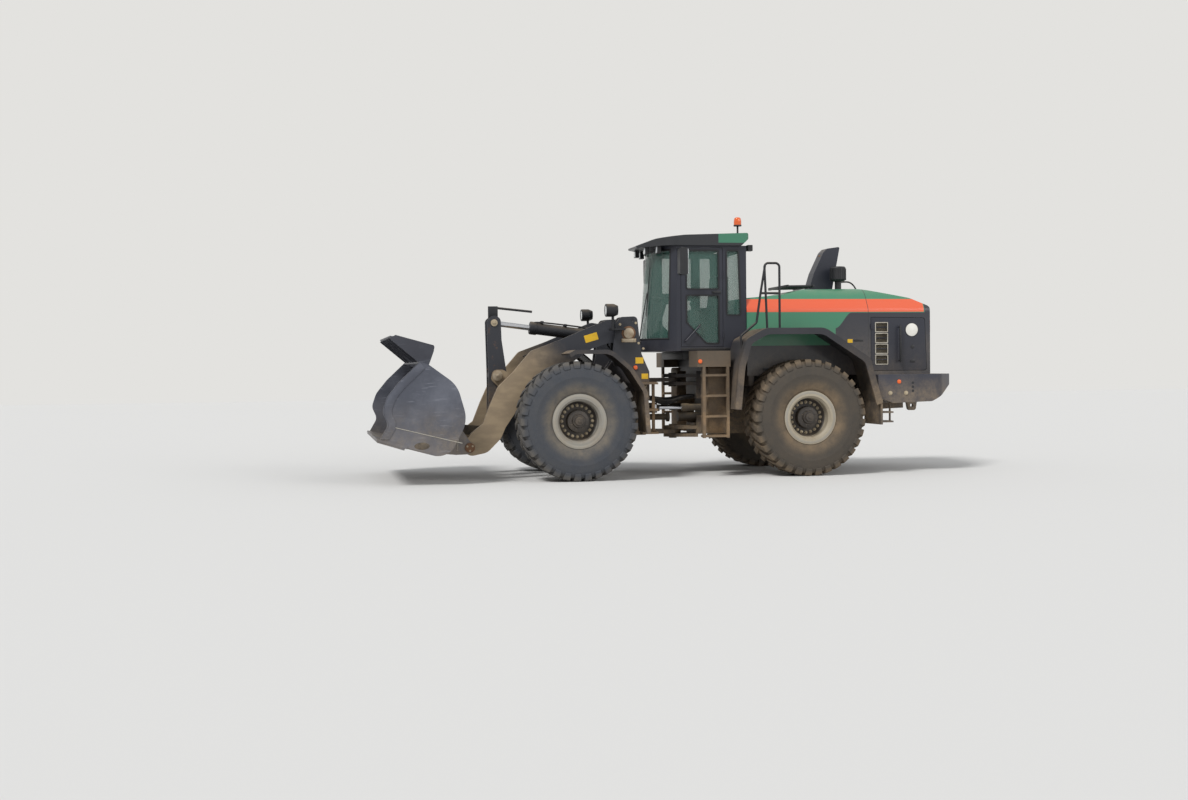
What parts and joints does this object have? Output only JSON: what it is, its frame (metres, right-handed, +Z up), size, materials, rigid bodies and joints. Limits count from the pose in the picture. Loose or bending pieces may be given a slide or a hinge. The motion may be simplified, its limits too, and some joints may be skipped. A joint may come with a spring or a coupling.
{
  "type": "articulated wheel loader",
  "caption": "Articulated wheel loader with lift arms, bell crank linkage and bucket, glazed cab with door, rear hood with side doors and grille, and four lugged tyres.",
  "frame": {"origin": "on the ground under the articulation, half way between the axles", "axes": "+X forwards to the bucket, +Y to the machine's left, +Z up"},
  "size_m": [8.88, 3.19, 3.89],
  "materials": {
    "tyre_rubber": "matt",
    "rim_paint": "satin",
    "anthracite_paint": "satin",
    "green_paint": "satin",
    "arm_paint": "satin",
    "bucket_steel": "matt",
    "dark_steel": "matt",
    "rod_chrome": "polished",
    "pin_steel": "satin",
    "black_plastic": "matt",
    "tinted_glass": "clear",
    "lamp_plastic": "gloss",
    "beacon_plastic": "gloss",
    "seat_fabric": "matt",
    "tube_paint": "satin"
  },
  "bodies": {
    "rear_body": {"rear_frame": "anthracite_paint", "counterweight": "anthracite_paint", "gearbox": "dark_steel", "engine_block": "dark_steel", "cooling_pack": "dark_steel", "hood": "green_paint", "rear_axle": "anthracite_paint", "rear_fenders": "black_plastic", "access_steps": "anthracite_paint", "handrails": "tube_paint", "cab_shell": "anthracite_paint", "cab_glass": "tinted_glass", "cab_roof": "green_paint", "beacon": "beacon_plastic", "work_lamps": "lamp_plastic", "mirrors": "black_plastic", "seat_base": "black_plastic", "seat_cushion": "seat_fabric", "steering_column": "black_plastic", "exhaust_cowl": "anthracite_paint", "intake_precleaner": "black_plastic"},
    "front_body": {"front_frame": "anthracite_paint", "front_axle": "anthracite_paint", "front_fenders": "black_plastic", "front_steps": "tube_paint", "headlamps": "tube_paint"},
    "side_door_left_body": {"side_door_left": "anthracite_paint"},
    "side_door_right_body": {"side_door_right": "anthracite_paint"},
    "rear_grille_body": {"rear_grille": "anthracite_paint"},
    "cab_door_body": {"cab_door": "anthracite_paint", "door_glass": "tinted_glass"},
    "boom_body": {"boom": "arm_paint"},
    "bucket_pins_body": {"bucket_pins": "pin_steel"},
    "crank_pin_body": {"crank_pin": "pin_steel"},
    "bellcrank_body": {"bellcrank": "arm_paint"},
    "link_pin_body": {"link_pin": "pin_steel"},
    "bucket_link_body": {"bucket_link": "arm_paint"},
    "bucket_body": {"bucket": "bucket_steel"},
    "tilt_barrel_body": {"tilt_barrel": "anthracite_paint"},
    "tilt_rod_body": {"tilt_rod": "rod_chrome"},
    "wheel_front_left": {"tyre_front_left": "tyre_rubber", "rim_front_left": "rim_paint"},
    "wheel_front_right": {"tyre_front_right": "tyre_rubber", "rim_front_right": "rim_paint"},
    "wheel_rear_left": {"tyre_rear_left": "tyre_rubber", "rim_rear_left": "rim_paint"},
    "wheel_rear_right": {"tyre_rear_right": "tyre_rubber", "rim_rear_right": "rim_paint"},
    "lift_barrel_left_body": {"lift_barrel_left": "anthracite_paint"},
    "lift_rod_left_body": {"lift_rod_left": "rod_chrome"},
    "lift_barrel_right_body": {"lift_barrel_right": "anthracite_paint"},
    "lift_rod_right_body": {"lift_rod_right": "rod_chrome"},
    "steer_barrel_left_body": {"steer_barrel_left": "anthracite_paint"},
    "steer_rod_left_body": {"steer_rod_left": "rod_chrome"},
    "steer_barrel_right_body": {"steer_barrel_right": "anthracite_paint"},
    "steer_rod_right_body": {"steer_rod_right": "rod_chrome"}
  },
  "joints": [
    {"name": "articulation", "type": "hinge", "parent": "rear_body", "child": "front_body", "pos_m": [0, 0, 1.035], "axis": [0, 0, 1], "range_deg": [-37, 37]},
    {"name": "wheel_front_left_spin", "type": "hinge", "parent": "front_body", "child": "wheel_front_left", "pos_m": [1.725, 1.15, 0.86], "axis": [0, 1, 0], "continuous": true},
    {"name": "wheel_front_right_spin", "type": "hinge", "parent": "front_body", "child": "wheel_front_right", "pos_m": [1.725, -1.15, 0.86], "axis": [0, 1, 0], "continuous": true},
    {"name": "wheel_rear_left_spin", "type": "hinge", "parent": "rear_body", "child": "wheel_rear_left", "pos_m": [-1.725, 1.15, 0.86], "axis": [0, 1, 0], "continuous": true},
    {"name": "wheel_rear_right_spin", "type": "hinge", "parent": "rear_body", "child": "wheel_rear_right", "pos_m": [-1.725, -1.15, 0.86], "axis": [0, 1, 0], "continuous": true},
    {"name": "boom_lift", "type": "hinge", "parent": "front_body", "child": "boom_body", "pos_m": [0.85, 0, 2.13], "axis": [0, -1, 0], "range_deg": [-6, 81]},
    {"name": "bucket_pins_turn", "type": "hinge", "parent": "boom_body", "child": "bucket_pins_body", "pos_m": [3.22, 0, 0.48], "axis": [0, -1, 0], "range_deg": [-66, 6]},
    {"name": "bucket_tilt", "type": "hinge", "parent": "bucket_pins_body", "child": "bucket_body", "pos_m": [3.22, 0, 0.48], "axis": [0, 1, 0], "range_deg": [-31, 60]},
    {"name": "crank_pin_turn", "type": "hinge", "parent": "boom_body", "child": "crank_pin_body", "pos_m": [2.74, 0, 1.52], "axis": [0, -1, 0], "range_deg": [-2, 13]},
    {"name": "bellcrank_turn", "type": "hinge", "parent": "crank_pin_body", "child": "bellcrank_body", "pos_m": [2.74, 0, 1.52], "axis": [0, -1, 0], "range_deg": [-6, 11]},
    {"name": "link_pin_turn", "type": "hinge", "parent": "bucket_body", "child": "link_pin_body", "pos_m": [3.32, 0, 0.73], "axis": [0, -1, 0], "range_deg": [-4, 36]},
    {"name": "bucket_link_turn", "type": "hinge", "parent": "link_pin_body", "child": "bucket_link_body", "pos_m": [3.32, 0, 0.73], "axis": [0, -1, 0], "range_deg": [-23, 42]},
    {"name": "tilt_barrel_turn", "type": "hinge", "parent": "front_body", "child": "tilt_barrel_body", "pos_m": [0.97, 0, 2.074], "axis": [0, -1, 0], "range_deg": [-8, 85]},
    {"name": "tilt_rod_slide", "type": "slide", "parent": "tilt_barrel_body", "child": "tilt_rod_body", "axis": [0.9915, 0, 0.13], "range_m": [-0.14, 0.08]},
    {"name": "lift_barrel_left_turn", "type": "hinge", "parent": "front_body", "child": "lift_barrel_left_body", "pos_m": [0.62, 0.425, 1], "axis": [0, -1, 0], "range_deg": [-4, 42]},
    {"name": "lift_rod_left_slide", "type": "slide", "parent": "lift_barrel_left_body", "child": "lift_rod_left_body", "axis": [0.9101, 0, 0.4144], "range_m": [-0.075, 0.97]},
    {"name": "lift_barrel_right_turn", "type": "hinge", "parent": "front_body", "child": "lift_barrel_right_body", "pos_m": [0.62, -0.425, 1], "axis": [0, -1, 0], "range_deg": [-4, 42]},
    {"name": "lift_rod_right_slide", "type": "slide", "parent": "lift_barrel_right_body", "child": "lift_rod_right_body", "axis": [0.9101, 0, 0.4144], "range_m": [-0.075, 0.97]},
    {"name": "steer_barrel_left_turn", "type": "hinge", "parent": "rear_body", "child": "steer_barrel_left_body", "pos_m": [-0.8, 0.42, 1.01], "axis": [0, 0, 1], "range_deg": [-13, 13]},
    {"name": "steer_rod_left_slide", "type": "slide", "parent": "steer_barrel_left_body", "child": "steer_rod_left_body", "axis": [0.9987, -0.0508, 0], "range_m": [-0.27, 0.27]},
    {"name": "steer_barrel_right_turn", "type": "hinge", "parent": "rear_body", "child": "steer_barrel_right_body", "pos_m": [-0.8, -0.42, 1.01], "axis": [0, 0, 1], "range_deg": [-13, 13]},
    {"name": "steer_rod_right_slide", "type": "slide", "parent": "steer_barrel_right_body", "child": "steer_rod_right_body", "axis": [0.9987, 0.0508, 0], "range_m": [-0.27, 0.27]},
    {"name": "cab_door_swing", "type": "hinge", "parent": "rear_body", "child": "cab_door_body", "pos_m": [-0.593, 0.7903, 2.66], "axis": [0, 0, 1], "range_deg": [0, 90]},
    {"name": "side_door_left_swing", "type": "hinge", "parent": "rear_body", "child": "side_door_left_body", "pos_m": [-2.927, 0.8103, 1.95], "axis": [0, 0, -1], "range_deg": [0, 90]},
    {"name": "side_door_right_swing", "type": "hinge", "parent": "rear_body", "child": "side_door_right_body", "pos_m": [-2.927, -0.8103, 1.95], "axis": [0, 0, 1], "range_deg": [0, 90]},
    {"name": "rear_grille_swing", "type": "hinge", "parent": "rear_body", "child": "rear_grille_body", "pos_m": [-3.9003, -0.693, 1.97], "axis": [0, 0, 1], "range_deg": [0, 100]}
  ],
  "couplings": [
    {"joint": "bucket_pins_turn", "follows": "boom_lift", "ratio": -0.76},
    {"joint": "crank_pin_turn", "follows": "boom_lift", "ratio": 0.1253},
    {"joint": "link_pin_turn", "follows": "boom_lift", "ratio": 0.414},
    {"joint": "tilt_barrel_turn", "follows": "boom_lift", "ratio": 1.029},
    {"joint": "bellcrank_turn", "follows": "bucket_tilt", "ratio": 0.155},
    {"joint": "bucket_link_turn", "follows": "bucket_tilt", "ratio": 0.661},
    {"joint": "tilt_rod_slide", "follows": "bucket_tilt", "m_per_rad": -0.119},
    {"joint": "lift_barrel_left_turn", "follows": "boom_lift", "ratio": 0.5},
    {"joint": "lift_rod_left_slide", "follows": "boom_lift", "m_per_rad": 0.66},
    {"joint": "lift_barrel_right_turn", "follows": "boom_lift", "ratio": 0.5},
    {"joint": "lift_rod_right_slide", "follows": "boom_lift", "m_per_rad": 0.66},
    {"joint": "steer_barrel_left_turn", "follows": "articulation", "ratio": 0.3072},
    {"joint": "steer_rod_left_slide", "follows": "articulation", "m_per_rad": -0.3729},
    {"joint": "steer_barrel_right_turn", "follows": "articulation", "ratio": 0.3072},
    {"joint": "steer_rod_right_slide", "follows": "articulation", "m_per_rad": 0.3729}
  ]
}
